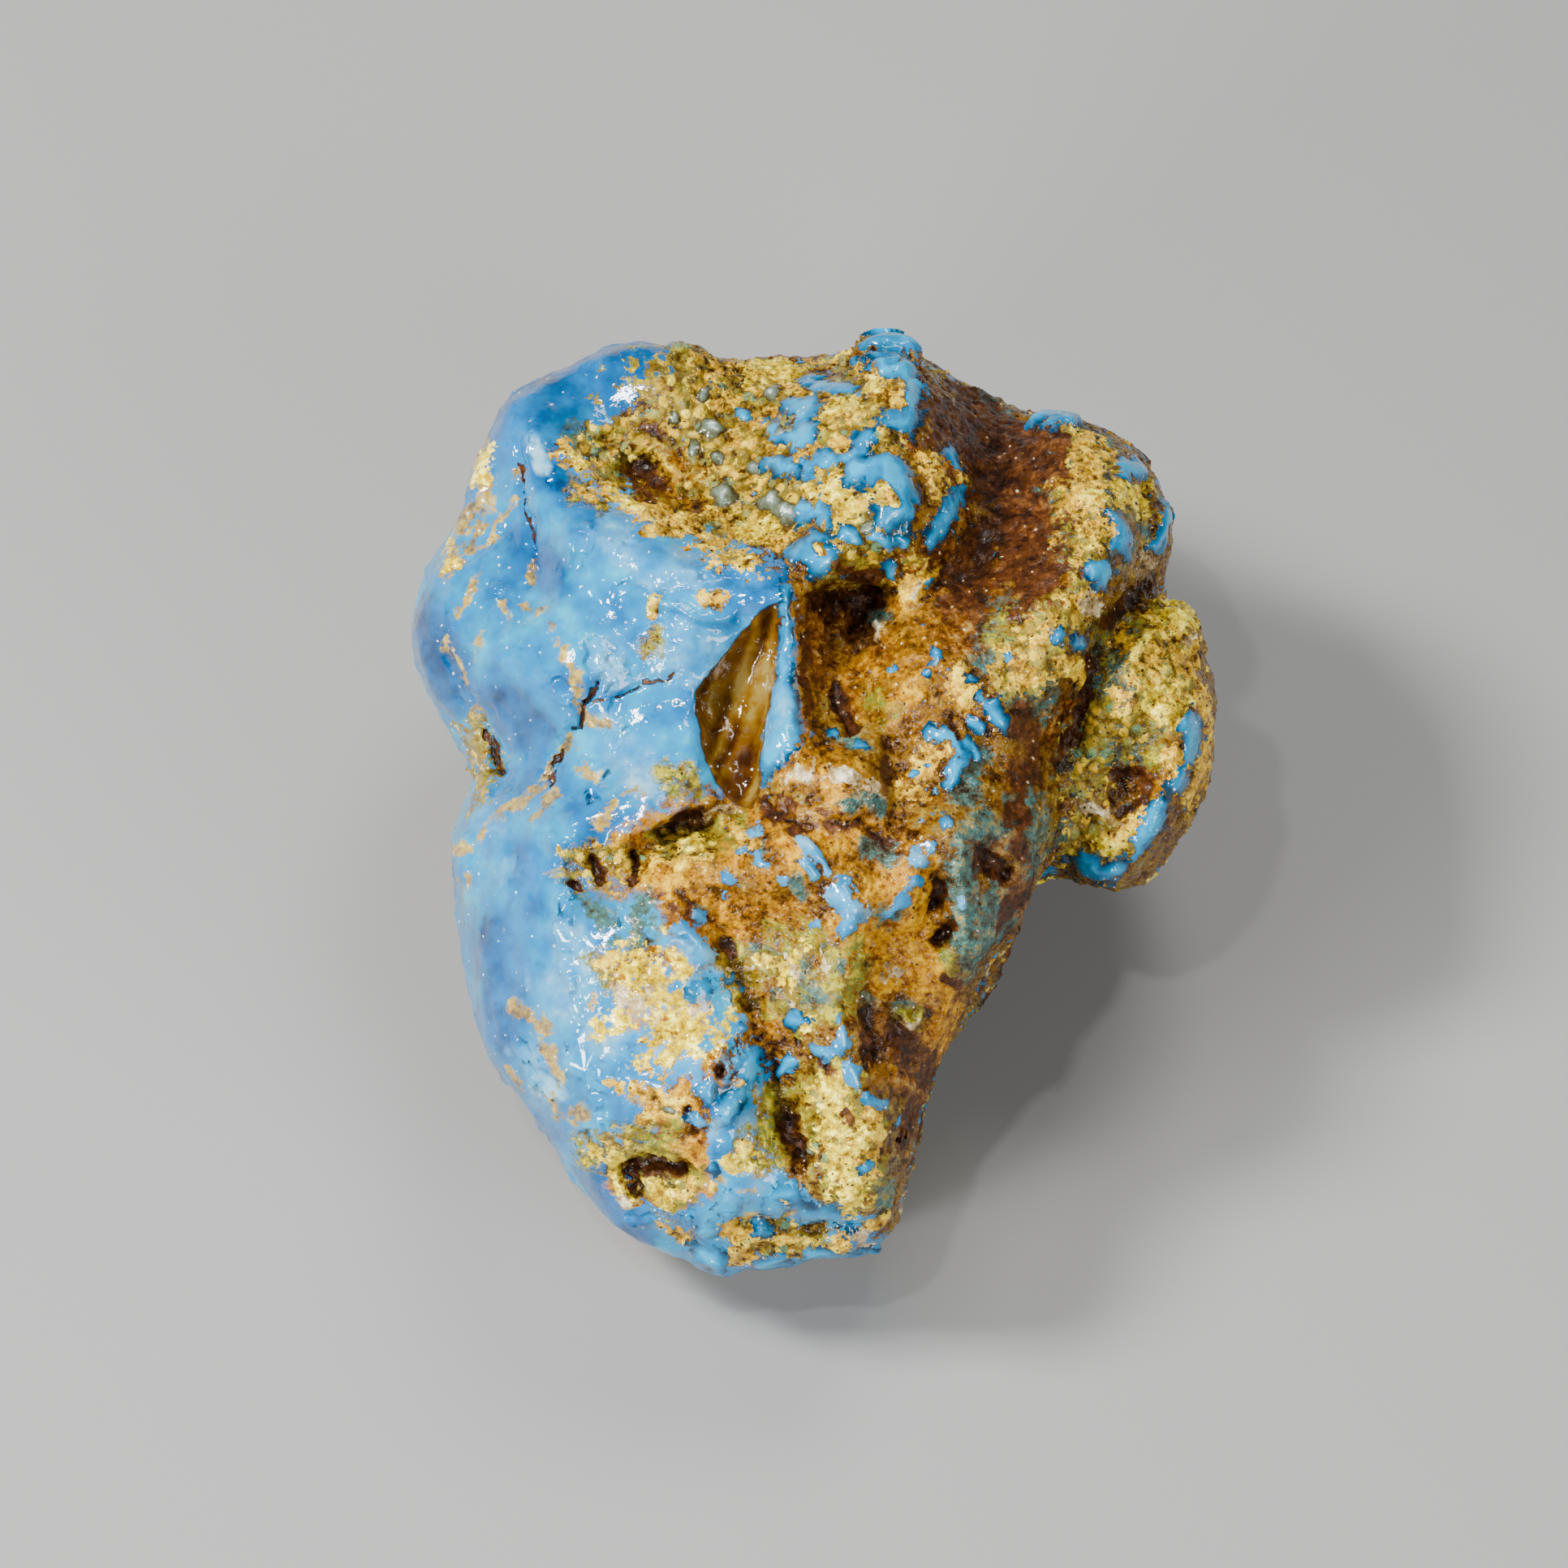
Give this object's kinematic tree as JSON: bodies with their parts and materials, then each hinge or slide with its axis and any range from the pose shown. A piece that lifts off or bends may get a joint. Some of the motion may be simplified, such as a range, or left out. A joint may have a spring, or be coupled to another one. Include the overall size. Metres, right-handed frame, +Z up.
{
  "type": "rough amber nodule",
  "caption": "Irregular rough amber nodule with a ridged face, pits, rounded side lobes and a worn flat to rest on.",
  "frame": {"origin": "on the rest plane, under the middle of the nodule's bounding box", "axes": "+Z up from the rest plane, +Y along the nodule's length, from its narrow foot in front to its broad end behind, +X to the right"},
  "size_m": [0.0498, 0.0662, 0.0382],
  "materials": {
    "amber_skin": "wet glossy sky-blue skin, with ochre, yellow and dark brown crust in the hollows and on the right"
  },
  "bodies": {
    "root": {"amber_nodule": "amber_skin"}
  },
  "joints": []
}
